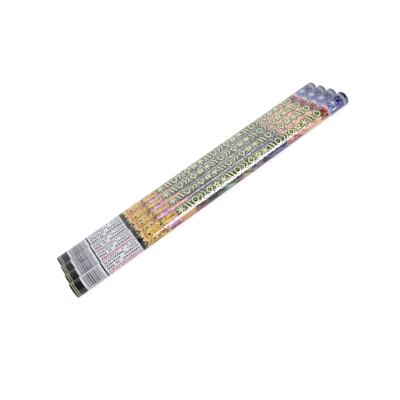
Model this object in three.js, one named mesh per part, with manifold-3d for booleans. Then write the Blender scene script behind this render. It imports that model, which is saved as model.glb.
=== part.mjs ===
// Shrink-wrapped row of four roman candles, in millimetres.
// +X runs from the base ends to the muzzles, +Y to the back candle, +Z up.
// The origin is under the middle of the pack, on the surface that it lies on.

import * as THREE from 'three';
import { mergeVertices } from 'three/addons/utils/BufferGeometryUtils.js';
import Module from 'manifold-3d';

const wasm = await Module();
wasm.setup();

// Driving dimensions of one candle
const candleCount = 4;
const tubeLength = 594;
const tubeDiameter = 27.4;
const boreDiameter = 20.3;
const tubeEndRound = 0.8;

// Printed paper wrap
const wrapThickness = 0.2;
const glueGap = 0.1;
const wrapTurnIn = 2.6;

// Clay plug at the base
const plugLength = 22;
const plugRecess = 1.2;
const plugDish = 1.5;
const boreClearance = 0.15;

// Powder train, one stage for each star, and the free bore above it
const starCount = 8;
const liftDepth = 12;
const muzzleRoom = 44.7;
const trainClearance = 0.3;

// Stars
const starDiameter = 14.4;
const starLength = 16;
const starDrop = 1.8;
const starChamfer = 1.2;
const starClearance = 0.3;

// Time fuse and the channel that it lies in
const fuseDiameter = 2.6;
const fuseClearance = 0.4;
const fuseTipGap = 0.3;

// Paper closure in the muzzle
const closureRecess = 3;
const closureDepth = 6;
const closureThickness = 1;

// Row and shrink film
const candleGap = 0.2;
const filmThickness = 0.25;
const filmGap = 0.15;
const filmTurnIn = 9;

// Facets of the round pieces
const tubeSides = 40;
const boreSides = 20;
const starSides = 12;
const fuseSides = 8;

// Sizes that follow from the driving dimensions
const wrapInnerRadius = tubeDiameter / 2 + glueGap;
const wrapOuterRadius = wrapInnerRadius + wrapThickness;
const wrapOverhang = glueGap + wrapThickness;
const candlePitch = 2 * wrapOuterRadius + candleGap;
const filmInnerRadius = wrapOuterRadius + filmGap;
const filmOuterRadius = filmInnerRadius + filmThickness;
const rowHalfWidth = ((candleCount - 1) * candlePitch) / 2;
const axisHeight = filmOuterRadius;
const tubeStart = -tubeLength / 2;
const tubeEnd = tubeLength / 2;
const bareBoreRadius = boreDiameter / 2;
const fillRadius = bareBoreRadius - boreClearance;
const plugStart = tubeStart + plugRecess;
const plugEnd = plugStart + plugLength;
const closureStart = tubeEnd - closureRecess - closureDepth;
const trainStart = plugEnd + trainClearance;
const trainLength = closureStart - muzzleRoom - trainStart;
const stageLength = trainLength / starCount;
const pocketLength = starLength + 2 * starClearance;
const fuseHeight = starDiameter / 2 - starDrop + starClearance + fuseDiameter / 2;
const channelWidth = fuseDiameter + 2 * fuseClearance;
const channelFloor = fuseHeight - fuseDiameter / 2 - fuseClearance;
const fuseEnd = closureStart - fuseTipGap;

// Finishes of the real materials
const finishes = {
  film: { color: 0xe9eef2, roughness: 0.12, metalness: 0, transparent: true, opacity: 0.25 },
  print: { color: 0x8d7f78, roughness: 0.35, metalness: 0 },
  kraft: { color: 0xb39167, roughness: 0.85, metalness: 0 },
  clay: { color: 0xb9ab98, roughness: 0.9, metalness: 0 },
  powder: { color: 0x3c3a38, roughness: 0.95, metalness: 0 },
  star: { color: 0x6b6f66, roughness: 0.9, metalness: 0 },
  fuse: { color: 0x4f7a45, roughness: 0.8, metalness: 0 },
  closure: { color: 0x2c2a5e, roughness: 0.7, metalness: 0 },
};

const pack = new THREE.Group();

// Adds one named piece with a material of its own
function addPiece(name, geometry, finish) {
  const material = new THREE.MeshStandardMaterial(finishes[finish]);
  const mesh = new THREE.Mesh(geometry, material);
  mesh.name = name;
  pack.add(mesh);
  return mesh;
}

// Turns a lathe or cylinder that was made along Y so that it runs along X
function alongX(geometry) {
  geometry.rotateZ(-Math.PI / 2);
  return geometry;
}

// A round of the given profile, whose points are [radius, place along X]
function turned(profile, sides) {
  const points = profile.map(([radius, place]) => new THREE.Vector2(radius, place));
  const lathe = new THREE.LatheGeometry(points, sides, Math.PI / sides);
  return alongX(lathe);
}

function rod(radius, start, end, sides) {
  const outline = [[0, start], [radius, start], [radius, end], [0, end]];
  return turned(outline, sides);
}

// Manifold needs a closed mesh whose faces share their vertices
function toSolid(geometry) {
  const bare = geometry.clone();
  bare.deleteAttribute('normal');
  bare.deleteAttribute('uv');
  const merged = mergeVertices(bare, 1e-4);
  const vertProperties = new Float32Array(merged.attributes.position.array);
  const triVerts = new Uint32Array(merged.index.array);
  return new wasm.Manifold(new wasm.Mesh({ numProp: 3, vertProperties, triVerts }));
}

function toGeometry(solid) {
  const mesh = solid.getMesh();
  const geometry = new THREE.BufferGeometry();
  geometry.setAttribute('position', new THREE.BufferAttribute(mesh.vertProperties, 3));
  geometry.setIndex(new THREE.BufferAttribute(mesh.triVerts, 1));
  return geometry;
}

// Paper tube with its two outer edges rounded off
function makeTube() {
  const outer = tubeDiameter / 2;
  const bore = bareBoreRadius;
  const outline = [
    [bore, tubeStart],
    [outer - tubeEndRound, tubeStart],
    [outer, tubeStart + tubeEndRound],
    [outer, tubeEnd - tubeEndRound],
    [outer - tubeEndRound, tubeEnd],
    [bore, tubeEnd],
    [bore, tubeStart],
  ];
  return turned(outline, tubeSides);
}

// Printed paper round the tube, turned in over both of its ends
function makeWrap() {
  const inner = wrapInnerRadius;
  const outer = wrapOuterRadius;
  const lip = outer - wrapTurnIn;
  const start = tubeStart - wrapOverhang;
  const end = tubeEnd + wrapOverhang;
  const outline = [
    [lip, start],
    [outer - tubeEndRound, start],
    [outer, start + tubeEndRound],
    [outer, end - tubeEndRound],
    [outer - tubeEndRound, end],
    [lip, end],
    [lip, end - wrapThickness],
    [inner - tubeEndRound, end - wrapThickness],
    [inner, end - wrapThickness - tubeEndRound],
    [inner, start + wrapThickness + tubeEndRound],
    [inner - tubeEndRound, start + wrapThickness],
    [lip, start + wrapThickness],
    [lip, start],
  ];
  return turned(outline, tubeSides);
}

// Pressed clay with the shallow dish that the ram leaves in its outer face
function makePlug() {
  const outline = [
    [0, plugStart + plugDish],
    [fillRadius / 2, plugStart + plugDish],
    [fillRadius, plugStart],
    [fillRadius, plugEnd],
    [0, plugEnd],
  ];
  return turned(outline, boreSides);
}

// Place along X of the first end of a star's pocket
function pocketStart(stage) {
  return trainStart + stage * stageLength + liftDepth;
}

// Lift powder and packing in one column, with a pocket for each star and the fuse's side channel
function makeTrain() {
  let column = toSolid(rod(fillRadius, trainStart, trainStart + trainLength, boreSides));
  const pocketRadius = starDiameter / 2 + starClearance;
  for (let stage = 0; stage < starCount; stage += 1) {
    const start = pocketStart(stage);
    const pocket = rod(pocketRadius, start, start + pocketLength, starSides);
    pocket.translate(0, 0, -starDrop);
    column = column.subtract(toSolid(pocket));
  }
  const channelDepth = 2 * (fillRadius - channelFloor);
  const channel = new THREE.BoxGeometry(2 * trainLength, channelWidth, channelDepth);
  channel.translate(trainStart, 0, channelFloor + channelDepth / 2);
  column = column.subtract(toSolid(channel));
  return toGeometry(column);
}

// Pressed star with chamfered rims
function makeStar(stage) {
  const radius = starDiameter / 2;
  const start = pocketStart(stage) + starClearance;
  const end = start + starLength;
  const outline = [
    [0, start],
    [radius - starChamfer, start],
    [radius, start + starChamfer],
    [radius, end - starChamfer],
    [radius - starChamfer, end],
    [0, end],
  ];
  const star = turned(outline, starSides);
  star.translate(0, 0, -starDrop);
  return star;
}

function makeFuse() {
  const fuse = rod(fuseDiameter / 2, trainStart, fuseEnd, fuseSides);
  fuse.translate(0, 0, fuseHeight);
  return fuse;
}

// Shallow paper cup, its floor towards the charges
function makeClosure() {
  const outer = fillRadius;
  const inner = outer - closureThickness;
  const outline = [
    [0, closureStart],
    [outer, closureStart],
    [outer, closureStart + closureDepth],
    [inner, closureStart + closureDepth],
    [inner, closureStart + closureThickness],
    [0, closureStart + closureThickness],
  ];
  return turned(outline, boreSides);
}

// Outline round the row: two straight runs and two half rounds, across the pack
function rowOutline(radius, target) {
  const right = rowHalfWidth;
  target.absarc(right, 0, radius, -Math.PI / 2, Math.PI / 2, false);
  target.absarc(-right, 0, radius, Math.PI / 2, (3 * Math.PI) / 2, false);
  target.closePath();
  return target;
}

// A straight sleeve or plate of the row's outline, from start to end along X
function rowSection(outerRadius, innerRadius, start, end) {
  const shape = rowOutline(outerRadius, new THREE.Shape());
  if (innerRadius > 0) {
    shape.holes.push(rowOutline(innerRadius, new THREE.Path()));
  }
  const settings = { depth: end - start, bevelEnabled: false, curveSegments: tubeSides / 4 };
  const section = new THREE.ExtrudeGeometry(shape, settings);
  section.rotateX(Math.PI / 2);
  section.rotateZ(Math.PI / 2);
  section.translate(start, 0, 0);
  return section;
}

// Clear sleeve round the row, its ends drawn in to an oval opening
function makeFilm() {
  const start = tubeStart - wrapOverhang - filmGap;
  const end = tubeEnd + wrapOverhang + filmGap;
  const outerBody = rowSection(filmOuterRadius, 0, start - filmThickness, end + filmThickness);
  const innerRoom = rowSection(filmInnerRadius, 0, start, end);
  const openRadius = filmOuterRadius - filmTurnIn;
  const opening = rowSection(openRadius, 0, start - filmTurnIn, end + filmTurnIn);
  const film = toSolid(outerBody).subtract(toSolid(innerRoom)).subtract(toSolid(opening));
  return toGeometry(film);
}

// Candle 1 is the front one, and each next candle lies one pitch further back
for (let index = 0; index < candleCount; index += 1) {
  const across = index * candlePitch - rowHalfWidth;
  const pieces = [
    addPiece(`tube_${index + 1}`, makeTube(), 'kraft'),
    addPiece(`wrap_${index + 1}`, makeWrap(), 'print'),
    addPiece(`base_plug_${index + 1}`, makePlug(), 'clay'),
    addPiece(`powder_train_${index + 1}`, makeTrain(), 'powder'),
    addPiece(`time_fuse_${index + 1}`, makeFuse(), 'fuse'),
    addPiece(`muzzle_closure_${index + 1}`, makeClosure(), 'closure'),
  ];
  for (let stage = 0; stage < starCount; stage += 1) {
    pieces.push(addPiece(`star_${index + 1}_${stage + 1}`, makeStar(stage), 'star'));
  }
  for (const piece of pieces) {
    piece.position.set(0, across, axisHeight);
  }
}

const film = addPiece('shrink_film', makeFilm(), 'film');
film.position.set(0, 0, axisHeight);

export default pack;
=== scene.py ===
import math

import bmesh
import bpy
from mathutils import Matrix, Quaternion, Vector


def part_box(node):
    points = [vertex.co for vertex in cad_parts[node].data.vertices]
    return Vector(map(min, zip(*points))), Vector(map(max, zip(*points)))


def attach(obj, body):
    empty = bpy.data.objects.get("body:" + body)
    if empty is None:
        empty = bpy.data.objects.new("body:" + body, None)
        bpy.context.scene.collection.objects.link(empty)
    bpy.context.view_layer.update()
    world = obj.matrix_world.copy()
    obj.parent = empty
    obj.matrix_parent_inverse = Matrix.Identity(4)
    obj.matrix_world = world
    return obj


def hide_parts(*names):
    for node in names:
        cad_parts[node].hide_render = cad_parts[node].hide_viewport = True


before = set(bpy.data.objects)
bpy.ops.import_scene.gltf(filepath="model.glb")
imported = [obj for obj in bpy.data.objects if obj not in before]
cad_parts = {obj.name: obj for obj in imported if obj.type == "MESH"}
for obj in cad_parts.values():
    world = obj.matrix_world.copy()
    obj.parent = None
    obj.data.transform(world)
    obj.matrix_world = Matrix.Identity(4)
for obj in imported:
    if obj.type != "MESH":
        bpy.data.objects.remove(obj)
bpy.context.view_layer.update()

# Lengths in this script are metres, apart from the print's own map, which is in millimetres
MM = 0.001
CANDLES = 4
STARS = 8

# Camera of the photograph, fitted to the outlines of the four tubes
PHOTO_SIDE = 400
FOCAL_PIXELS = 458.16
SENSOR_WIDTH = 36.0
CAMERA_PLACE = Vector((-0.1884, -0.6651, 0.4878))
CAMERA_AIM = Vector((-0.0384, -0.0411, 0.0144))
CAMERA_ROLL = math.radians(-27.5)

# Facets of the smooth pieces, and the flat sides of the CAD's wraps, which have a flat on top
WRAP_STEPS = 120
BORE_STEPS = 72
CAD_SIDES = 40

# Plain white of light and of clear film
WHITE = (1.0, 1.0, 1.0, 1.0)

# How each candle's wrap was rolled on, front candle first, at the base end and at the muzzle: the height of
# its picture's middle round the candle, in degrees above the front, because the paper runs a little askew,
# and how far the print sits towards the muzzle, in millimetres, because no two wraps are quite as long
PRINT_MIDDLE = ((73.0, 60.0), (107.0, 75.0), (103.0, 74.0), (82.0, 74.0))
PRINT_SHIFT = ((0.0, 0.0), (0.2, 1.4), (-0.5, 1.4), (0.3, 1.8))

# Places along the print, in millimetres from the base end, and the way round it
GOLD_RINGS = ((3.5, 4.2), (6.6, 7.3))
SILVER_PANEL = (20.0, 58.8)
STRIPE_BLOCK = (23.4, 47.0)
WHITE_PANEL = (61.6, 130.4)
RULED_ROWS = (64.0, 128.5)
FLAME_START = 135.6
NIGHT_START = 211.0
MOTIF_START = 212.4
MOTIF_PITCH = 15.3
MOTIF_COUNT = 21
SUNSET_START = 446.0
SKY_START = 549.0
SILVER_RINGS = ((583.3, 584.7), (586.2, 587.6))
MUZZLE = 595.0
GIRTH = 88.0


def colour(text):
    """An sRGB hex value such as 'c0ffee' as a linear RGBA colour."""
    channels = [int(text[i:i + 2], 16) / 255 for i in (0, 2, 4)]
    linear = [c / 12.92 if c <= 0.04045 else ((c + 0.055) / 1.055) ** 2.4 for c in channels]
    return (*linear, 1.0)


def add(tree, kind, inputs=(), stops=(), **settings):
    """Adds a node; a kind in capitals is a Math operation. Inputs are values, sockets or whole nodes."""
    if kind.isupper():
        kind, settings["operation"] = "Math", kind
    node = tree.nodes.new("ShaderNode" + kind)
    for name, value in settings.items():
        setattr(node, name, value)
    for index, (place, text) in enumerate(stops):
        elements = node.color_ramp.elements
        element = elements[index] if index < len(elements) else elements.new(place)
        element.position = place
        element.color = colour(text)
    shown = [socket for socket in node.inputs if socket.enabled]
    by_name = {socket.name: socket for socket in reversed(shown)}
    for key, value in inputs.items() if isinstance(inputs, dict) else enumerate(inputs):
        socket = by_name[key] if isinstance(key, str) else shown[key]
        if isinstance(value, bpy.types.Node):
            value = next(output for output in value.outputs if output.enabled)
        if isinstance(value, bpy.types.NodeSocket):
            tree.links.new(value, socket)
        else:
            socket.default_value = value
    return node


def new_material(name):
    material = bpy.data.materials.new(name)
    material.use_nodes = True
    material.node_tree.nodes.clear()
    return material, material.node_tree


# Masks, noises and coats that the patterns are built from

def below(tree, value, edge, soft=0.4):
    """A mask that is 1 where value is under edge, and 0 past it."""
    gap = add(tree, "SUBTRACT", (value, edge))
    ends = {"Value": gap, "From Min": soft / 2, "From Max": -soft / 2}
    return add(tree, "MapRange", ends, interpolation_type="SMOOTHSTEP")


def near(tree, value, middle, half, soft=0.4):
    """A mask that is 1 where value lies within half of middle."""
    offset = add(tree, "SUBTRACT", (value, middle))
    return below(tree, add(tree, "ABSOLUTE", (offset,)), half, soft)


def between(tree, value, ends, soft=0.4):
    """A mask that is 1 where value lies between the two ends."""
    return near(tree, value, (ends[0] + ends[1]) / 2, (ends[1] - ends[0]) / 2, soft)


def grain(tree, u, v, u_size, v_size, detail=2.0, seed=0.0):
    """Noise from 0 to 1 whose patches are about u_size long and v_size high, in millimetres."""
    along = add(tree, "MULTIPLY_ADD", (u, 1 / u_size, seed))
    round_it = add(tree, "MULTIPLY_ADD", (v, 1 / v_size, seed * 0.7))
    place = add(tree, "CombineXYZ", (along, round_it, seed))
    return add(tree, "TexNoise", {"Vector": place, "Scale": 1.0, "Detail": detail})


def grain_offset(tree, u, v, u_size, v_size, seed, spread):
    """How far noise moves an edge to and fro, in millimetres."""
    noise = grain(tree, u, v, u_size, v_size, 3.0, seed)
    return add(tree, "MULTIPLY_ADD", (noise, spread, -spread / 2))


def spot(tree, u, v, middle, size, ragged=0.0, soft=0.3, seed=0.0):
    """A mask of one oval patch, its edge made ragged by noise."""
    along = add(tree, "MULTIPLY_ADD", (u, 1 / size[0], -middle[0] / size[0]))
    round_it = add(tree, "MULTIPLY_ADD", (v, 1 / size[1], -middle[1] / size[1]))
    place = add(tree, "CombineXYZ", (along, round_it, 0.0))
    reach = add(tree, "VectorMath", (place,), operation="LENGTH").outputs["Value"]
    noise = grain(tree, u, v, size[0] * 0.6, size[1] * 0.5, 3.0, seed)
    reach = add(tree, "MULTIPLY_ADD", (noise, 2 * ragged, reach))
    return below(tree, reach, 1.0 + ragged, soft)


def layered(tree, ground, *coats):
    """Lays coats over a ground in turn, each a mask and the colour that it lets through."""
    for mask, tone in coats:
        ground = add(tree, "Mix", {"Factor": mask, "A": ground, "B": tone}, data_type="RGBA")
    return ground


def past(tree, value, middle, half):
    """How far value lies past a band that reaches half to each side of middle, negative inside it."""
    offset = add(tree, "ABSOLUTE", (add(tree, "SUBTRACT", (value, middle)),))
    return add(tree, "SUBTRACT", (offset, half))


def off_ray(tree, angle, count):
    """How far an angle is off the nearest of count even rays: 0 on a ray, and 0.5 between two."""
    turn = add(tree, "FRACT", (add(tree, "MULTIPLY_ADD", (angle, count / (2 * math.pi), count + 0.5)),))
    return past(tree, turn, 0.5, 0.0)


# The print, zone by zone

def silver_panel(tree, u, v):
    """Cloudy silver ink with a pale border, softest towards the muzzle, and stripes of uneven strength."""
    silver = add(tree, "ValToRGB", (grain(tree, u, v, 9, 30, 2.0, 0.6),), [
        (0.30, "9fa2a9"), (0.50, "b5b7bf"), (0.70, "cdcfd7"),
    ])
    start, end = SILVER_PANEL
    ends = add(tree, "MAXIMUM", (
        between(tree, u, (start, start + 2.0)), between(tree, u, (end - 3.2, end + 1.0), 3.0),
    ))
    low_side, high_side = -21.5, 4.6
    sides = add(tree, "MAXIMUM", (near(tree, v, high_side, 0.7), near(tree, v, low_side, 0.7)))
    silver = layered(tree, silver, (add(tree, "MAXIMUM", (ends, sides)), colour("e9ebf3")))

    stripe_pitch = 3.93
    stripe_inset = 1.2
    place = add(tree, "MULTIPLY_ADD", (u, 1 / stripe_pitch, -STRIPE_BLOCK[0] / stripe_pitch))
    noise = add(tree, "TexWhiteNoise", {"W": add(tree, "FLOOR", (place,))}, noise_dimensions="1D")
    chance = add(tree, "SeparateColor", (noise.outputs["Color"],))
    half = add(tree, "MULTIPLY_ADD", (chance.outputs["Green"], 0.12, 0.18))
    stripes = near(tree, add(tree, "FRACT", (place,)), 0.5, half, 0.1)
    stripe_ends = (low_side + stripe_inset, high_side - stripe_inset)
    block = add(tree, "MULTIPLY", (between(tree, u, STRIPE_BLOCK), between(tree, v, stripe_ends)))
    strength = add(tree, "MULTIPLY_ADD", (chance.outputs["Red"], 0.55, 0.42))
    inked = add(tree, "MULTIPLY", (add(tree, "MULTIPLY", (stripes, block)), strength))
    return layered(tree, silver, (inked, colour("24252d")))


def ruled_panel(tree, u, v):
    """White panel with rows of short uneven dashes, dark in the four rows of the picture side, else pink."""
    row_pitch = 5.2
    top_row = 3.9
    dash_pitch = 3.5
    row_place = add(tree, "MULTIPLY_ADD", (v, 1 / row_pitch, 0.5 - top_row / row_pitch))
    row = add(tree, "FLOOR", (row_place,))
    dash_place = add(tree, "MULTIPLY_ADD", (row, 0.37, add(tree, "MULTIPLY", (u, 1 / dash_pitch))))
    cell = add(tree, "CombineXYZ", (add(tree, "FLOOR", (dash_place,)), row, 0.0))
    chance = add(tree, "SeparateColor", (add(tree, "TexWhiteNoise", (cell,)).outputs["Color"],))

    # Each dash has its own place, length and height in its cell, and some are left out
    middle = add(tree, "MULTIPLY_ADD", (chance.outputs["Red"], 0.24, 0.38))
    half = add(tree, "MULTIPLY_ADD", (chance.outputs["Green"], 0.15, 0.21))
    dashes = near(tree, add(tree, "FRACT", (dash_place,)), middle, half, 0.14)
    height = add(tree, "MULTIPLY_ADD", (chance.outputs["Blue"], 0.16, 0.42))
    rows = near(tree, add(tree, "FRACT", (row_place,)), height, 0.30, 0.12)
    kept = add(tree, "GREATER_THAN", (chance.outputs["Red"], 0.13))
    inked = add(tree, "MULTIPLY", (add(tree, "MULTIPLY", (rows, dashes)), kept))
    inked = add(tree, "MULTIPLY", (inked, between(tree, u, RULED_ROWS)))
    picture_side = between(tree, v, (top_row - 3.5 * row_pitch, top_row + 0.5 * row_pitch))
    ink = layered(tree, colour("c8285f"), (picture_side, colour("1b1c26")))
    return layered(tree, colour("e0e1e8"), (inked, ink))


def foot_zone(tree, u, v):
    """Black foot with a double gold ring, the silver panel and the white panel, and black between them."""
    black = add(tree, "ValToRGB", (grain(tree, u, v, 9, 9),), [(0.3, "0c0c0f"), (0.7, "17171a")])
    rings = add(tree, "MAXIMUM", (between(tree, u, GOLD_RINGS[0]), between(tree, u, GOLD_RINGS[1])))
    return layered(
        tree, black, (rings, colour("f0e8bc")),
        (between(tree, u, SILVER_PANEL), silver_panel(tree, u, v)),
        (between(tree, u, WHITE_PANEL), ruled_panel(tree, u, v)),
    )


def bursts(tree, u, v, under):
    """Round bursts in the flames: a black heart in a pale disc, with an arc of red petals on one side."""
    pitch_along, pitch_round = 17.0, 13.0
    last_burst = 181.0
    place = add(tree, "VectorMath", (
        add(tree, "CombineXYZ", (u, v, 0.0)), (1 / pitch_along, 1 / pitch_round, 0.0), (0.25, 0.6, 0.0),
    ), operation="MULTIPLY_ADD")
    cells = add(tree, "TexVoronoi", {"Vector": place, "Scale": 1.0, "Randomness": 0.7},
                voronoi_dimensions="2D")
    noise = grain(tree, u, v, 2.6, 2.2, 2.0, 8.8)
    ragged = add(tree, "MULTIPLY_ADD", (noise, 0.14, cells.outputs["Distance"]))
    offset = add(tree, "VectorMath", (place, cells.outputs["Position"]), operation="SUBTRACT")
    facing = add(tree, "VectorMath", (offset, (-0.75, -0.65, 0.0)), operation="DOT_PRODUCT")
    lit_side = below(tree, 0.02, facing.outputs["Value"], 0.1)
    kept = below(tree, u, last_burst, 2.0)
    disc = add(tree, "MULTIPLY", (below(tree, ragged, 0.40, 0.05), kept))
    arc = add(tree, "MULTIPLY", (near(tree, ragged, 0.42, 0.05, 0.04), lit_side))
    arc = add(tree, "MULTIPLY", (arc, kept))
    heart = add(tree, "MULTIPLY", (below(tree, ragged, 0.215, 0.05), kept))
    return layered(
        tree, under, (add(tree, "MULTIPLY", (disc, 0.75)), colour("e6cf7c")),
        (arc, colour("c24d2a")), (heart, colour("120b06")),
    )


def flame_zone(tree, u, v):
    """Gold zone of flame tongues and round bursts, with mauve smoke and a lilac cloud near its end."""
    gold = add(tree, "ValToRGB", (grain(tree, u, v, 10, 6, 3.0, 4.1),), [
        (0.32, "8b5726"), (0.42, "c68a38"), (0.50, "dfad52"), (0.58, "ebca74"), (0.70, "f5e4a8"),
    ])

    # The height lines of a drawn-out noise are the edges of pale and brown tongues
    tongues = grain(tree, u, v, 13, 5, 2.0, 1.3)
    pale = add(tree, "MULTIPLY", (below(tree, 0.55, tongues, 0.02), 0.75))
    brown = add(tree, "MULTIPLY", (below(tree, tongues, 0.41, 0.02), 0.5))
    lines = [near(tree, tongues, height, 0.012, 0.016) for height in (0.42, 0.55)]
    lines = add(tree, "MULTIPLY", (add(tree, "MAXIMUM", lines), 0.7))
    layer = layered(
        tree, gold, (pale, colour("f2dc6c")), (brown, colour("a5602a")), (lines, colour("6a4418")),
        (add(tree, "MULTIPLY", (near(tree, u, 141.8, 2.2, 3.0), 0.6)), colour("f3e09a")),
    )
    layer = bursts(tree, u, v, layer)

    # Mauve smoke in a thin wavering line, a wine-red back, and peach where the night begins below
    smoke_start, wine_start, peach_start = 173.0, 177.0, 208.0
    line = add(tree, "MULTIPLY_ADD", (grain(tree, u, v, 60, 9, 2.0, 6.2), 16.0, smoke_start))
    smoke = near(tree, add(tree, "SUBTRACT", (u, line)), 0.0, 1.7, 1.6)
    smoke = add(tree, "MULTIPLY", (smoke, below(tree, grain(tree, u, v, 5, 5, 2.0, 2.2), 0.56, 0.1)))
    back = add(tree, "MULTIPLY", (below(tree, wine_start, u, 6.0), below(tree, 7.0, v, 5.0)))
    wine = add(tree, "ValToRGB", (grain(tree, u, v, 5, 8, 3.0, 7.3),), [
        (0.36, "5c3440"), (0.52, "9c6064"), (0.68, "cda293"),
    ])
    peach = add(tree, "MULTIPLY", (below(tree, peach_start, u, 14.0), 0.7))
    layer = layered(
        tree, layer, (add(tree, "MULTIPLY", (smoke, 0.75)), colour("4f3340")),
        (add(tree, "MULTIPLY", (back, 0.85)), wine), (peach, colour("d79c86")),
    )

    # Cloud low on the picture side: magenta on top, white in its middle and plum below; the white lies along
    # the gloss line between the candles and is partly a painted highlight
    cloud = spot(tree, u, v, (199.0, -14.5), (15.0, 8.5), ragged=0.9, soft=0.4, seed=2.9)
    wisps = grain(tree, u, v, 7, 2.4, 3.0, 9.7)
    height = add(tree, "MULTIPLY_ADD", (v, 1 / 22.0, add(tree, "MULTIPLY_ADD", (wisps, 1.3, 0.4))))
    lilac_and_painted_highlight = add(tree, "ValToRGB", (height,), [
        (0.08, "5b2c4a"), (0.24, "b2507f"), (0.36, "d089b4"), (0.45, "f8eef6"), (0.54, "e8bbdd"),
        (0.66, "b2559a"),
    ])
    return layered(tree, layer, (cloud, lilac_and_painted_highlight))


def night_ground(tree, u, v):
    """Dusk behind the motifs, and long coloured streaks round the rest of the candle."""
    behind = add(tree, "ValToRGB", (grain(tree, u, v, 11, 6, 3.0, 8.4),), [
        (0.34, "1e1f21"), (0.42, "67686d"), (0.50, "a2a1ab"), (0.62, "d4d4d7"),
    ])

    # Streaks lean a little to the candle
    lean = math.radians(-15)
    along = add(tree, "MULTIPLY_ADD", (v, math.sin(lean), add(tree, "MULTIPLY", (u, math.cos(lean)))))
    across = add(tree, "MULTIPLY_ADD", (v, math.cos(lean), add(tree, "MULTIPLY", (u, -math.sin(lean)))))
    streak = grain(tree, along, across, 18, 2.2, 2.5, 3.7)
    progress = add(tree, "MapRange", {"Value": u, "From Min": NIGHT_START, "From Max": SUNSET_START})
    light = add(tree, "ValToRGB", (progress,), [
        (0.00, "f0bf86"), (0.10, "e39c7b"), (0.20, "9a6675"), (0.31, "464c48"), (0.45, "b0d0b4"),
        (0.56, "9c7a85"), (0.61, "f0ee9c"), (0.66, "d6b8c2"), (0.80, "a098b8"), (0.96, "7074b4"),
    ])
    dark = add(tree, "ValToRGB", (progress,), [
        (0.00, "b8787a"), (0.14, "4c2e3e"), (0.30, "1e2422"), (0.55, "262627"), (0.66, "372a32"),
        (0.96, "28295f"),
    ])
    lit = add(tree, "MapRange", {"Value": streak, "From Min": 0.45, "From Max": 0.55})
    streaks = layered(tree, dark, (lit, light))

    # Slate just under the motifs, which has black in stretches: partly print, and partly painted shade where
    # the band lies in the valleys between the candles
    slate_and_valley_shade = near(tree, v, -11.0, 2.4, 1.6)
    shade_height = add(tree, "MULTIPLY_ADD", (grain(tree, u, v, 40, 400, 2.0, 6.6), 4.0, -13.6))
    shade = near(tree, add(tree, "SUBTRACT", (v, shade_height)), 0.0, 1.3, 0.6)
    stretch = below(tree, grain(tree, u, v, 22, 400, 1.0, 4.4), 0.56, 0.06)
    return layered(
        tree, streaks, (add(tree, "MULTIPLY", (slate_and_valley_shade, 0.75)), colour("4c4b57")),
        (add(tree, "MULTIPLY", (shade, stretch)), colour("0f0e11")), (near(tree, v, 0.3, 8.4, 1.2), behind),
    )


def sunset_zone(tree, u, v):
    """Peach and salmon sky with long yellow and rose streaks."""
    bent = add(tree, "MULTIPLY_ADD", (u, 0.25, v))
    streak = grain(tree, u, bent, 15, 3.0, 3.0, 5.5)
    sky = add(tree, "ValToRGB", (streak,), [
        (0.32, "b8746c"), (0.41, "e3a392"), (0.50, "f2c1ad"), (0.60, "f8d8c2"), (0.70, "fbeebc"),
    ])
    dusk = spot(tree, u, v, (463.0, -17.0), (18.0, 9.0), ragged=0.7, soft=0.7, seed=1.1)
    plum = add(tree, "ValToRGB", (grain(tree, u, bent, 8, 2.2, 2.0, 8.2),), [
        (0.42, "74425a"), (0.54, "b9808c"), (0.66, "e6b4ae"),
    ])
    amber = spot(tree, u, v, (459.0, -13.0), (5.0, 1.4), ragged=1.0, soft=0.4, seed=2.1)
    amber_low = spot(tree, u, v, (525.0, -11.0), (7.0, 2.0), ragged=0.9, soft=0.4, seed=3.1)
    return layered(tree, sky, (dusk, plum), (amber, colour("f4c58a")), (amber_low, colour("f8e7a2")))


def comet_glow(tree, u, v, under):
    """A ragged crimson glow with a pale pink rim where the sunset meets the night sky."""
    glow_start, rim_start, rim_end = 528.0, 545.0, 548.5
    along = add(tree, "ADD", (u, grain_offset(tree, u, v, 5, 3, 9.1, 22.0)))
    rim = add(tree, "MULTIPLY", (between(tree, along, (rim_start, rim_end), 1.5), 0.6))
    glow = between(tree, along, (glow_start, rim_start), 2.0)
    patch = below(tree, grain(tree, u, v, 6, 3.4, 3.0, 7.7), 0.56, 0.04)
    crimson = add(tree, "ValToRGB", (grain(tree, u, v, 3, 3, 2.0, 3.1),), [
        (0.36, "36090f"), (0.50, "7e1f29"), (0.64, "b84a48"),
    ])
    sides = near(tree, v, -3.0, 15.0, 4.0)
    mauve = add(tree, "MULTIPLY", (add(tree, "MULTIPLY", (glow, sides)), 0.7))
    band = add(tree, "MULTIPLY", (add(tree, "MULTIPLY", (glow, patch)), sides))
    return layered(tree, under, (mauve, colour("7c4954")), (band, crimson), (rim, colour("dfb6c8")))


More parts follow.
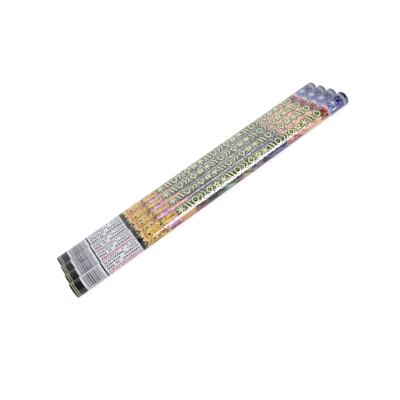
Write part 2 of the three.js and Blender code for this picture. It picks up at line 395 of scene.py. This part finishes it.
def night_sky(tree, u, v):
    """Blue sky, darkest at the muzzle, with small stars and one white burst on the picture side."""
    depth = add(tree, "MapRange", {"Value": u, "From Min": SKY_START, "From Max": MUZZLE})
    sky = add(tree, "ValToRGB", (depth,), [
        (0.0, "807cae"), (0.22, "3b4090"), (0.5, "1f2468"), (0.85, "18143f"),
    ])
    haze = below(tree, grain(tree, u, v, 8, 6, 3.0, 1.9), 0.44, 0.12)
    haze = add(tree, "MAXIMUM", (haze, below(tree, v, -8.0, 6.0)))
    sky = layered(tree, sky, (add(tree, "MULTIPLY", (haze, 0.44)), colour("7f86c6")))
    blue = spot(tree, u, v, (553.0, -9.5), (3.4, 4.4), ragged=0.5, soft=0.4, seed=4.0)
    sky = layered(tree, sky, (add(tree, "MULTIPLY", (blue, 0.75)), colour("8cbfe6")))

    star_pitch = 7.0
    place = add(tree, "CombineXYZ", (u, v, 0.0))
    cells = add(tree, "TexVoronoi", {"Vector": place, "Scale": 1 / star_pitch}, voronoi_dimensions="2D")
    dots = below(tree, cells.outputs["Distance"], 0.11, 0.06)
    dots = add(tree, "MULTIPLY", (dots, below(tree, u, 581.0)))

    # White burst: a few bold arms that bend as they go out from one middle
    arms = 7
    middle = (563.5, -1.5)
    east = add(tree, "SUBTRACT", (u, middle[0]))
    north = add(tree, "SUBTRACT", (v, middle[1]))
    offset = add(tree, "CombineXYZ", (east, north, 0.0))
    reach = add(tree, "VectorMath", (offset,), operation="LENGTH").outputs["Value"]
    angle = add(tree, "MULTIPLY_ADD", (reach, 0.09, add(tree, "ARCTAN2", (north, east))))
    width = add(tree, "MULTIPLY", (reach, 2 * math.pi / arms))
    beside = add(tree, "MULTIPLY", (off_ray(tree, angle, arms), width))
    arm = below(tree, beside, add(tree, "MULTIPLY_ADD", (reach, -0.06, 1.0)), 0.4)
    arm = add(tree, "MULTIPLY", (arm, below(tree, reach, 8.4, 2.0)))
    low_cloud = spot(tree, u, v, (560.5, -13.0), (5.0, 1.6), ragged=0.4, soft=0.5, seed=6.0)
    return layered(
        tree, sky, (dots, colour("dcdcf6")), (arm, colour("cdd0e6")), (low_cloud, colour("f4e6ee")),
    )


def motif_shapes(tree, x, y, index):
    """Distance past the edge of one motif, negative inside, in one of six kinds that take turns.

    Their strokes are about 3 mm wide, and each reaches some 7 to 8 mm from its middle.
    """
    place = add(tree, "CombineXYZ", (x, y, 0.0))
    reach = add(tree, "VectorMath", (place,), operation="LENGTH").outputs["Value"]
    angle = add(tree, "ARCTAN2", (x, y))
    x_size = add(tree, "ABSOLUTE", (x,))
    y_size = add(tree, "ABSOLUTE", (y,))

    # Burst of six bold rays
    rays = 6
    beside = add(tree, "MULTIPLY", (off_ray(tree, angle, rays), reach))
    burst = add(tree, "MULTIPLY_ADD", (beside, 2 * math.pi / rays, -1.45))
    burst = add(tree, "MAXIMUM", (burst, add(tree, "SUBTRACT", (reach, 7.6))))

    # Two leaning bars
    leaning = add(tree, "ABSOLUTE", (add(tree, "MULTIPLY_ADD", (y, 0.3, x)),))
    bars = add(tree, "MAXIMUM", (past(tree, leaning, 3.2, 1.65), past(tree, y, 0.0, 7.2)))

    # Oval ring with a dot
    ring_reach = 5.6
    oval = add(tree, "VectorMath", (place, (1 / 5.0, 1 / 6.2, 0.0)), operation="MULTIPLY")
    oval_reach = add(tree, "VectorMath", (oval,), operation="LENGTH").outputs["Value"]
    ring = past(tree, add(tree, "MULTIPLY", (oval_reach, ring_reach)), ring_reach, 1.5)
    ring = add(tree, "MINIMUM", (ring, add(tree, "SUBTRACT", (reach, 1.4))))

    # Two nested chevrons
    bent = add(tree, "MULTIPLY_ADD", (y_size, 0.6, add(tree, "SUBTRACT", (x, 2.2))))
    chevrons = past(tree, add(tree, "ABSOLUTE", (bent,)), 3.1, 1.6)
    chevrons = add(tree, "MAXIMUM", (chevrons, past(tree, y, 0.0, 7.1)))

    # Hollow diamond with a dot
    slope = add(tree, "MULTIPLY_ADD", (y_size, 1 / 6.9, add(tree, "MULTIPLY_ADD", (x_size, 1 / 5.6, -1.0))))
    diamond = add(tree, "MULTIPLY_ADD", (add(tree, "ABSOLUTE", (slope,)), 4.3, -1.45))
    diamond = add(tree, "MINIMUM", (diamond, add(tree, "SUBTRACT", (reach, 1.3))))

    # Star of five points with a round hole
    dip = off_ray(tree, angle, 5)
    star = add(tree, "MULTIPLY_ADD", (dip, 8.8, add(tree, "SUBTRACT", (reach, 8.2))))
    star = add(tree, "MAXIMUM", (add(tree, "MULTIPLY", (star, 0.7)), add(tree, "SUBTRACT", (1.5, reach))))

    kind = add(tree, "MODULO", (index, 6.0))
    shape = burst
    for number, other in enumerate((bars, ring, chevrons, diamond, star), 1):
        shape = add(tree, "Mix", (near(tree, kind, number, 0.5, 0.1), shape, other), data_type="FLOAT")
    return shape


def motif_row(tree, u, v, under):
    """A row of pale green motifs with wide black outlines, one in each pitch."""
    place = add(tree, "MULTIPLY_ADD", (u, 1 / MOTIF_PITCH, -MOTIF_START / MOTIF_PITCH))
    x = add(tree, "MULTIPLY_ADD", (add(tree, "FRACT", (place,)), MOTIF_PITCH, -MOTIF_PITCH / 2))
    shape = motif_shapes(tree, x, v, add(tree, "FLOOR", (place,)))
    row = between(tree, u, (MOTIF_START, MOTIF_START + MOTIF_COUNT * MOTIF_PITCH), 0.1)
    outline = add(tree, "MULTIPLY", (below(tree, shape, 1.6, 0.8), row))
    fill = add(tree, "MULTIPLY", (below(tree, shape, 0.0, 0.4), row))
    core = add(tree, "MULTIPLY", (below(tree, shape, -0.45, 0.5), row))
    return layered(
        tree, under, (outline, colour("12140f")), (fill, colour("bdc98c")), (core, colour("dfe6b2")),
    )


def picture(tree, u, v):
    """The whole print of one candle, from its foot to the muzzle."""
    # Each zone starts at a ragged edge and covers the zone before it
    teeth = add(tree, "PINGPONG", (v, 3.4))
    jag = add(tree, "MULTIPLY_ADD", (teeth, 2.1, grain_offset(tree, u, v, 30, 6, 2.2, 5.0)))
    low = add(tree, "MULTIPLY", (below(tree, v, -10.0, 4.0), 31.0))
    flame_end = add(tree, "ADD", (low, grain_offset(tree, u, v, 8, 4, 6.6, 9.0)))
    starts = (
        (FLAME_START, jag, 0.5, flame_zone(tree, u, v)),
        (NIGHT_START, flame_end, 2.0, night_ground(tree, u, v)),
        (SUNSET_START, grain_offset(tree, u, v, 12, 5, 3.3, 26.0), 3.0, sunset_zone(tree, u, v)),
        (SKY_START, grain_offset(tree, u, v, 6, 6, 4.7, 7.0), 1.5, night_sky(tree, u, v)),
    )
    layer = foot_zone(tree, u, v)
    for start, offset, soft, zone in starts:
        edge = add(tree, "ADD", (start, offset))
        layer = layered(tree, layer, (below(tree, edge, u, soft), zone))
    layer = comet_glow(tree, u, v, layer)
    layer = motif_row(tree, u, v, layer)
    rings = add(tree, "MAXIMUM", (between(tree, u, SILVER_RINGS[0]), between(tree, u, SILVER_RINGS[1])))
    return layered(tree, layer, (rings, colour("c3c6cc")))


def print_material():
    """Gloss-laminated printed paper: sharp ink and a clear sheen, with the tube's ridges just showing."""
    material, tree = new_material("gloss-laminated printed paper")
    place = add(tree, "UVMap", uv_map="print_mm")
    split = add(tree, "SeparateXYZ", (place,))
    u, v = split.outputs["X"], split.outputs["Y"]

    # Ridges of the spiral-wound tube and slight hollows show through the paper
    ridge_pitch = 42.0
    helix = add(tree, "MULTIPLY_ADD", (v, 1 / GIRTH, add(tree, "MULTIPLY", (u, 1 / ridge_pitch))))
    ridge = near(tree, add(tree, "FRACT", (helix,)), 0.5, 0.012, 0.02)
    hollows = grain(tree, u, v, 30, 12, 0.0, 0.4)
    height = add(tree, "MULTIPLY_ADD", (ridge, 0.1, hollows))
    bump = add(tree, "Bump", {"Strength": 0.2, "Distance": 0.3 * MM, "Height": height})

    # Roughness of the gloss film, a little worn in patches
    worn = add(tree, "MULTIPLY_ADD", (grain(tree, u, v, 14, 14, 1.0, 5.0), 0.06, 0.14))
    paper = add(tree, "BsdfPrincipled", {
        "Base Color": picture(tree, u, v), "Roughness": worn, "Specular IOR Level": 0.5, "Normal": bump,
    })
    add(tree, "OutputMaterial", (paper,))
    return material


# Materials of the other pieces

def film_material():
    """Clear polyolefin shrink film: only reflections, fine stretch wrinkles and a faint painted reflection
    of the bright backdrop show.
    """
    material, tree = new_material("clear polyolefin shrink film")
    wave_length = 45.5 * MM
    wave_width = 16.7 * MM
    place = add(tree, "TexCoord").outputs["Object"]
    scale = (1 / wave_length, 1 / wave_width, 1 / wave_width)
    stretched = add(tree, "Mapping", {"Vector": place, "Scale": scale})
    waves = add(tree, "TexNoise", {"Vector": stretched, "Scale": 1.0, "Detail": 0.0})
    bump = add(tree, "Bump", {"Strength": 0.5, "Distance": 0.3 * MM, "Height": waves})

    # Only the side that faces the eye shows, or the thin wall would act as a block of glass
    surface = add(tree, "NewGeometry")
    facing = add(tree, "SUBTRACT", (1.0, surface.outputs["Backfacing"]))
    mirror = add(tree, "MULTIPLY", (add(tree, "Fresnel", {"IOR": 1.5, "Normal": bump}), 0.15))
    clear = add(tree, "BsdfTransparent", {"Color": WHITE})
    gloss = add(tree, "BsdfAnisotropic", {"Color": WHITE, "Roughness": 0.06, "Normal": bump})
    sheet = add(tree, "MixShader", (add(tree, "MULTIPLY", (mirror, facing)), clear, gloss))

    # Painted reflection of the bright backdrop, laid on as a milky white where the film spans the row clear
    # of the paper, least at the base end and in front
    height = add(tree, "SeparateXYZ", (surface.outputs["Normal"],)).outputs["Z"]
    way = add(tree, "SeparateXYZ", (place,))
    along = {"Value": way.outputs["X"], "From Min": -0.28, "From Max": 0.0, "To Max": 0.12}
    back = {"Value": way.outputs["Y"], "From Min": -0.035, "From Max": 0.045, "To Max": 0.075}
    painted_reflection = add(tree, "ADD", (add(tree, "MapRange", along), add(tree, "MapRange", back)))
    spans = add(tree, "MULTIPLY", (below(tree, 0.97, height, 0.04), facing))
    painted_reflection = add(tree, "MULTIPLY", (painted_reflection, spans))
    reflection_white = add(tree, "BsdfDiffuse", (colour("eae8f0"),))
    add(tree, "OutputMaterial", (add(tree, "MixShader", (painted_reflection, sheet, reflection_white)),))
    return material


def kraft_material():
    """Spiral-wound kraft board: brown and fibrous, with its plies just showing on the cut end."""
    material, tree = new_material("spiral-wound kraft board")
    place = add(tree, "UVMap", uv_map="print_mm")
    split = add(tree, "SeparateXYZ", (place,))
    fibre = grain(tree, split.outputs["X"], split.outputs["Y"], 3, 1, 4.0, 1.0)
    brown = add(tree, "ValToRGB", (fibre,), [(0.3, "8f7148"), (0.55, "b39167"), (0.75, "c9ab80")])
    ply_depth = 1.1 * MM
    ply = add(tree, "TexNoise", {"Vector": add(tree, "TexCoord").outputs["Object"], "Scale": 1 / ply_depth})
    bump = add(tree, "Bump", {"Strength": 0.4, "Distance": 0.2 * MM, "Height": ply})
    board = add(tree, "BsdfPrincipled", {"Base Color": brown, "Roughness": 0.85, "Normal": bump})
    add(tree, "OutputMaterial", (board,))
    return material


def grainy_material(name, dark, light, grain_size, rough, depth):
    """Pressed clay, powder or pulp: matt all over, with grains in two tones."""
    material, tree = new_material(name)
    place = add(tree, "TexCoord").outputs["Object"]
    speckle = add(tree, "TexNoise", {"Vector": place, "Scale": 1 / grain_size, "Detail": 4.0})
    tone = add(tree, "ValToRGB", (speckle,), [(0.35, dark), (0.65, light)])
    bump = add(tree, "Bump", {"Strength": 0.6, "Distance": depth, "Height": speckle})
    grains = add(tree, "BsdfPrincipled", {"Base Color": tone, "Roughness": rough, "Normal": bump})
    add(tree, "OutputMaterial", (grains,))
    return material


def fuse_material():
    """Green lacquered braid: fine threads that cross round the cord."""
    material, tree = new_material("green lacquered braided fuse")
    place = add(tree, "TexCoord").outputs["Object"]
    thread_pitch = 1.2 * MM
    wave = {"Vector": place, "Scale": 1 / (2 * math.pi * thread_pitch), "Distortion": 2.0}
    threads = add(tree, "TexWave", wave, bands_direction="DIAGONAL").outputs["Fac"]
    green = add(tree, "ValToRGB", (threads,), [(0.2, "2f5a2c"), (0.8, "5f9a50")])
    bump = add(tree, "Bump", {"Strength": 0.5, "Distance": 0.2 * MM, "Height": threads})
    braid = add(tree, "BsdfPrincipled", {"Base Color": green, "Roughness": 0.5, "Normal": bump})
    add(tree, "OutputMaterial", (braid,))
    return material


# Modelling

def axis_of(candle):
    """Place across the row and height of a candle's axis."""
    low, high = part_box(f"tube_{candle}")
    return (low[1] + high[1]) / 2, (low[2] + high[2]) / 2


def make_object(name, bm, material, smooth_angle=35.0):
    bmesh.ops.recalc_face_normals(bm, faces=bm.faces)
    mesh = bpy.data.meshes.new(name)
    bm.to_mesh(mesh)
    bm.free()
    mesh.shade_smooth()
    mesh.set_sharp_from_angle(angle=math.radians(smooth_angle))
    mesh.materials.append(material)
    piece = bpy.data.objects.new(name, mesh)
    bpy.context.scene.collection.objects.link(piece)
    return piece


def turned(outline, candle, steps):
    """Spins a closed outline of (radius, place along X) points about a candle's axis."""
    across, height = axis_of(candle)
    bm = bmesh.new()
    points = [bm.verts.new((x, across, height + radius)) for radius, x in outline]
    edges = [bm.edges.new(pair) for pair in zip(points, points[1:] + points[:1])]
    bmesh.ops.spin(bm, geom=points + edges, cent=(0, across, height), axis=(1, 0, 0),
                   angle=2 * math.pi, steps=steps, use_merge=True)
    bmesh.ops.remove_doubles(bm, verts=bm.verts, dist=0.005 * MM)
    return bm


def map_print(bm, candle, print_radius, start, end):
    """Lays the print's map in millimetres: along the candle, and round it from the picture's middle."""
    across, height = axis_of(candle)
    layer = bm.loops.layers.uv.new("print_mm")
    at_base, at_muzzle = [math.radians(angle) for angle in PRINT_MIDDLE[candle - 1]]
    shift_at_base, shift_at_muzzle = PRINT_SHIFT[candle - 1]

    def height_angle(place):
        """Angle above the front, counted from the muzzle end's middle of the picture."""
        return math.atan2(place.z - height, across - place.y) - at_muzzle

    for face in bm.faces:
        face_angle = (height_angle(face.calc_center_median()) + math.pi) % (2 * math.pi) - math.pi
        for loop in face.loops:
            place = loop.vert.co
            angle = height_angle(place)
            angle += 2 * math.pi * round((face_angle - angle) / (2 * math.pi))
            left = (end - place.x) / (end - start)
            askew = (at_base - at_muzzle) * left * left
            shift = shift_at_muzzle + (shift_at_base - shift_at_muzzle) * left
            along = (place.x - start) / MM - shift
            loop[layer].uv = (along, (angle - askew) * print_radius / MM)


def arc_points(centre, radius, start, end, count):
    """Points of an arc in an outline's plane, as (radius, place) pairs."""
    points = []
    for step in range(count + 1):
        angle = start + (end - start) * step / count
        points.append((centre[0] + radius * math.cos(angle), centre[1] + radius * math.sin(angle)))
    return points


def make_wrap(candle, material):
    """Printed paper: a thin skin round the tube, its ends turned in over the tube's edges with pleats."""
    low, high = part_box(f"wrap_{candle}")
    across, height = axis_of(candle)
    outer = (high[2] - low[2]) / 2 / math.cos(math.pi / CAD_SIDES)
    paper = 0.2 * MM
    round_off = 0.9 * MM
    turn_in = 2.6 * MM
    lip = outer - turn_in
    bays = 24
    start, end = low[0], high[0]
    quarter = math.pi / 2
    outline = [(lip, start)]
    outline += arc_points((outer - round_off, start + round_off), round_off, -quarter, 0, 5)
    outline += [(outer, start + (end - start) * step / bays) for step in range(1, bays)]
    outline += arc_points((outer - round_off, end - round_off), round_off, 0, quarter, 5)
    outline += [(lip, end), (lip, end - paper)]
    inner = round_off - paper
    outline += arc_points((outer - round_off, end - round_off), inner, quarter, 0, 3)
    outline += arc_points((outer - round_off, start + round_off), inner, 0, -quarter, 3)
    outline += [(lip, start + paper)]
    bm = turned(outline, candle, WRAP_STEPS)

    # Pleats of the turned-in ends, deepest at the lip
    pleats = 18
    pleat_start = 0.3 * MM
    pleat_depth = 0.12 * MM
    face_depth = 0.5 * MM
    for vert in bm.verts:
        radius = math.hypot(vert.co.y - across, vert.co.z - height)
        depth = min(1.0, max(0.0, (outer - radius - pleat_start) / (turn_in - pleat_start)))
        angle = math.atan2(vert.co.z - height, vert.co.y - across)
        push = pleat_depth * depth * math.sin(pleats * angle + candle)
        if depth > 0 and abs(vert.co.x) > end - face_depth:
            vert.co.x -= math.copysign(abs(push), vert.co.x)
    map_print(bm, candle, outer, start, end)
    piece = make_object(f"printed_wrap_{candle}", bm, material)
    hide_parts(f"wrap_{candle}")
    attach(piece, "root")


def make_tube(candle, material):
    """Kraft tube with a smooth round bore."""
    low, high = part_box(f"tube_{candle}")
    outer = (high[2] - low[2]) / 2
    bore = 10.15 * MM
    edge = 0.7 * MM
    start, end = low[0], high[0]
    outline = [
        (bore, start), (outer - edge, start), (outer, start + edge),
        (outer, end - edge), (outer - edge, end), (bore, end),
    ]
    bm = turned(outline, candle, BORE_STEPS)
    map_print(bm, candle, outer, start, end)
    piece = make_object(f"kraft_tube_{candle}", bm, material)
    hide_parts(f"tube_{candle}")
    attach(piece, "root")


def film_place(place, count, radius, half):
    """For one place round the row: the point on its core line across the row, and the outward direction."""
    arc_share = math.pi * radius
    run = 2 * half
    around = 2 * (arc_share + run)
    way = place / count * around
    if way < run:
        return -half + way, -math.pi / 2
    way -= run
    if way < arc_share:
        return half, -math.pi / 2 + way / radius
    way -= arc_share
    if way < run:
        return half - way, math.pi / 2
    way -= run
    return -half, math.pi / 2 + way / radius


def make_film(material):
    """Clear sleeve drawn tight over the row, its ends gathered in soft folds round an oval opening."""
    low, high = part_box("shrink_film")
    radius = (high[2] - low[2]) / 2
    half = (high[1] - low[1]) / 2 - radius
    half_length = (high[0] - low[0]) / 2
    count = 288
    turn_in = 9.0 * MM
    corner = 1.0 * MM
    skin = 0.04 * MM
    sunk = 0.35 * MM
    fold_depth = 0.5 * MM
    fold_push = 0.12 * MM
    lip_steps, corner_steps, bays = 8, 5, 40

    # Each loop round the sleeve is an inset from its outside, a place along X and a share of the folds
    rings = []
    for side in (-1, 1):
        end = []
        for step in range(lip_steps + 1):
            share = step / lip_steps
            inset = turn_in + (corner - turn_in) * share
            end.append((inset, side * (half_length - sunk), 1 - share))
        for step in range(1, corner_steps + 1):
            angle = math.pi / 2 * step / corner_steps
            inset = corner * (1 - math.sin(angle))
            depth = corner * (1 - math.cos(angle)) + sunk * (1 - step / corner_steps)
            end.append((inset, side * (half_length - depth), 0.0))
        rings.append(end if side < 0 else end[::-1])
    straight = half_length - corner
    body = [(0.0, straight * (2 * step / bays - 1), 0.0) for step in range(1, bays)]
    loops = rings[0] + body + rings[1]

    bm = bmesh.new()
    number = bm.verts.layers.int.new("place")
    circle = bmesh.ops.create_circle(bm, segments=count, radius=radius)
    edges = list({edge for vert in circle["verts"] for edge in vert.link_edges})
    verts = circle["verts"]
    for place, vert in enumerate(verts):
        vert[number] = place
    for index, (inset, x, fold) in enumerate(loops):
        if index:
            grown = bmesh.ops.extrude_edge_only(bm, edges=edges)["geom"]
            verts = [item for item in grown if isinstance(item, bmesh.types.BMVert)]
            edges = [item for item in grown if isinstance(item, bmesh.types.BMEdge)]
        for vert in verts:
            place = vert[number]
            core, direction = film_place(place, count, radius, half)
            ripple = math.sin(place * 0.61) + 0.6 * math.sin(place * 1.37 + 1.1)
            reach = radius - skin - inset - fold * fold_depth * ripple
            bulge = math.copysign(fold * fold_push * (1.6 - ripple), x)
            vert.co = (x + bulge, core + reach * math.cos(direction), radius + reach * math.sin(direction))
    bmesh.ops.recalc_face_normals(bm, faces=bm.faces)
    bmesh.ops.solidify(bm, geom=bm.faces[:], thickness=skin)
    piece = make_object("clear_shrink_film", bm, material, 60.0)
    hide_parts("shrink_film")
    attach(piece, "root")


def dress(node, material):
    """Gives a CAD node a material in place of its plain one."""
    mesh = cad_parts[node].data
    mesh.materials.clear()
    mesh.materials.append(material)


# Camera, light and floor

def make_camera():
    data = bpy.data.cameras.new("photo_camera")
    data.sensor_fit = "HORIZONTAL"
    data.sensor_width = SENSOR_WIDTH
    data.lens = SENSOR_WIDTH * FOCAL_PIXELS / PHOTO_SIDE
    data.clip_start = 0.01
    camera = bpy.data.objects.new("photo_camera", data)
    level = (CAMERA_AIM - CAMERA_PLACE).to_track_quat("-Z", "Y")
    rolled = level @ Quaternion((0, 0, 1), CAMERA_ROLL)
    camera.matrix_world = Matrix.Translation(CAMERA_PLACE) @ rolled.to_matrix().to_4x4()
    bpy.context.scene.collection.objects.link(camera)
    bpy.context.scene.camera = camera


def make_lamp(name, kind, place, aim):
    lamp = bpy.data.objects.new(name, bpy.data.lights.new(name, kind))
    lamp.rotation_euler = (Vector(aim) - Vector(place)).to_track_quat("-Z", "Y").to_euler()
    lamp.location = place
    lamp.visible_camera = False
    bpy.context.scene.collection.objects.link(lamp)
    return lamp


def make_lamps():
    """A broad soft light from high in front, and two soft-edged strips that only glossy surfaces show."""
    key = make_lamp("soft_key", "SUN", (-0.25, -0.55, 1.0), (0, 0, 0))
    key.data.energy = 1.5
    key.data.angle = math.radians(60)
    key.visible_glossy = False

    # The strips stand towards the muzzles, so the long highlight fades out at the flames
    aim = (0.22, -0.0423, 0.0144)
    strips = (
        ("strip_in_front", -0.7556, 0.2462, (0.64, 0.46), 14.1),
        ("soft_edge_above", -0.6168, 0.4965, (0.64, 0.21), 3.0),
    )
    for name, across, height, size, energy in strips:
        strip = make_lamp(name, "AREA", (aim[0], across, height), aim)
        strip.data.shape = "ELLIPSE"
        strip.data.size, strip.data.size_y = size
        strip.data.energy = energy
        strip.visible_diffuse = False


def make_floor():
    """Plain white paper that keeps a soft shadow of the pack."""
    bm = bmesh.new()
    bmesh.ops.create_grid(bm, x_segments=1, y_segments=1, size=4.0)
    bmesh.ops.translate(bm, verts=bm.verts, vec=(0, 0, -0.2 * MM))
    material, tree = new_material("white paper floor")

    # Where it is seen, dimmer paper with a glow reads as white and still takes the shadow
    path = add(tree, "LightPath")
    paper = add(tree, "BsdfDiffuse", (colour("e2e2e2"),))
    half_paper = add(tree, "BsdfDiffuse", (colour("7c7c7c"),))
    glow = add(tree, "Emission", {"Color": WHITE, "Strength": 0.85})
    shown = add(tree, "AddShader", (half_paper, glow))
    seen = add(tree, "MAXIMUM", (path.outputs["Is Camera Ray"], path.outputs["Is Transmission Ray"]))
    seen = add(tree, "MAXIMUM", (seen, path.outputs["Is Glossy Ray"]))
    add(tree, "OutputMaterial", (add(tree, "MixShader", (seen, paper, shown)),))
    make_object("floor", bm, material)


def make_world():
    """White surroundings, seen in reflections as a dim room that is lighter behind the pack."""
    world = bpy.data.worlds.new("studio")
    bpy.context.scene.world = world
    world.use_nodes = True
    tree = world.node_tree
    tree.nodes.clear()
    path = add(tree, "LightPath")
    way = add(tree, "SeparateXYZ", (add(tree, "TexCoord").outputs["Generated"],))
    room = {"Value": way.outputs["Y"], "From Min": 0.1, "From Max": 0.6, "To Min": 0.12, "To Max": 0.9}
    dim = add(tree, "Background", {"Color": WHITE, "Strength": add(tree, "MapRange", room)})
    soft = add(tree, "Background", {"Color": WHITE, "Strength": 0.5})
    white = add(tree, "Background", {"Color": WHITE, "Strength": 1.0})
    seen = add(tree, "MAXIMUM", (path.outputs["Is Camera Ray"], path.outputs["Is Transmission Ray"]))
    lit = add(tree, "MixShader", (path.outputs["Is Glossy Ray"], soft, dim))
    add(tree, "OutputWorld", (add(tree, "MixShader", (seen, lit, white)),))


make_camera()
make_floor()
make_world()
make_lamps()

print_paper = print_material()
clear_film = film_material()
kraft = kraft_material()
clay = grainy_material("pressed clay", "9c8f7d", "cbbfac", 0.9 * MM, 0.9, 0.3 * MM)
powder = grainy_material("powder and bran packing", "1d1c1b", "5a4a38", 0.8 * MM, 0.95, 0.4 * MM)
star_grey = grainy_material("pressed star composition", "4b4f48", "8a8d80", 0.5 * MM, 0.9, 0.2 * MM)
closure_paper = grainy_material("dark blue pressed paper", "232152", "36346f", 1.5 * MM, 0.7, 0.1 * MM)
fuse_green = fuse_material()

for candle in range(1, CANDLES + 1):
    make_wrap(candle, print_paper)
    make_tube(candle, kraft)
    dress(f"base_plug_{candle}", clay)
    dress(f"powder_train_{candle}", powder)
    dress(f"time_fuse_{candle}", fuse_green)
    dress(f"muzzle_closure_{candle}", closure_paper)
    for stage in range(1, STARS + 1):
        dress(f"star_{candle}_{stage}", star_grey)
make_film(clear_film)

bpy.context.scene.view_settings.view_transform = "Standard"
